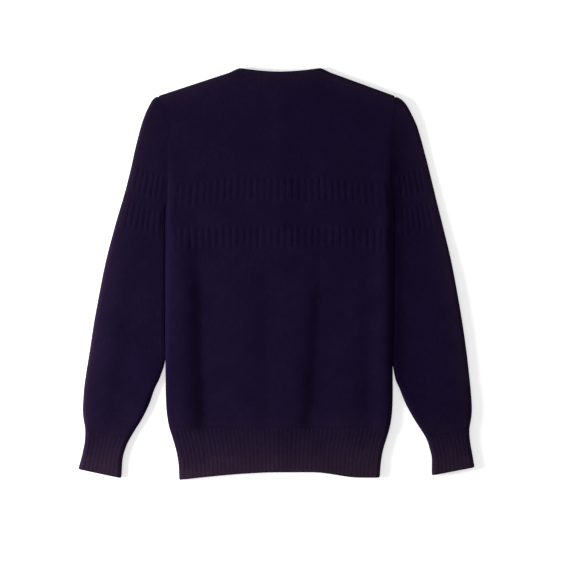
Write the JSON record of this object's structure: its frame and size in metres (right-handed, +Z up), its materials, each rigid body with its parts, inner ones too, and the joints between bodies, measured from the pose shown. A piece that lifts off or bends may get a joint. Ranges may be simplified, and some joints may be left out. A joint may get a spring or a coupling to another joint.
{
  "type": "cardigan",
  "caption": "Long-sleeved crew-neck knitted cardigan laid flat with its back up, with ribbed hem, cuffs and neckband and two raised rib bands across back and sleeves",
  "frame": {"origin": "centre of the laid garment's footprint, on the surface that it lies on", "axes": "+X runs to the right of the laid garment seen from above, which is the wearer's right, +Y runs from hem to neck, +Z is up, out of the garment's back"},
  "size_m": [0.6342, 0.656, 0.0138],
  "materials": {
    "knit": "fine plain knit, matt with a soft nap",
    "rib": "ribbed knit, matt",
    "horn": "smooth, slightly glossy"
  },
  "bodies": {
    "root": {"back": "knit", "front_left": "knit", "front_right": "knit", "sleeve_left": "knit", "sleeve_right": "knit", "cuff_left": "rib", "cuff_right": "rib", "hem_back": "rib", "hem_left": "rib", "hem_right": "rib", "neckband": "rib", "button_band": "rib", "buttonhole_band": "rib", "button_1": "horn", "button_2": "horn", "button_3": "horn", "button_4": "horn", "button_5": "horn", "button_6": "horn", "button_7": "horn"}
  },
  "joints": []
}
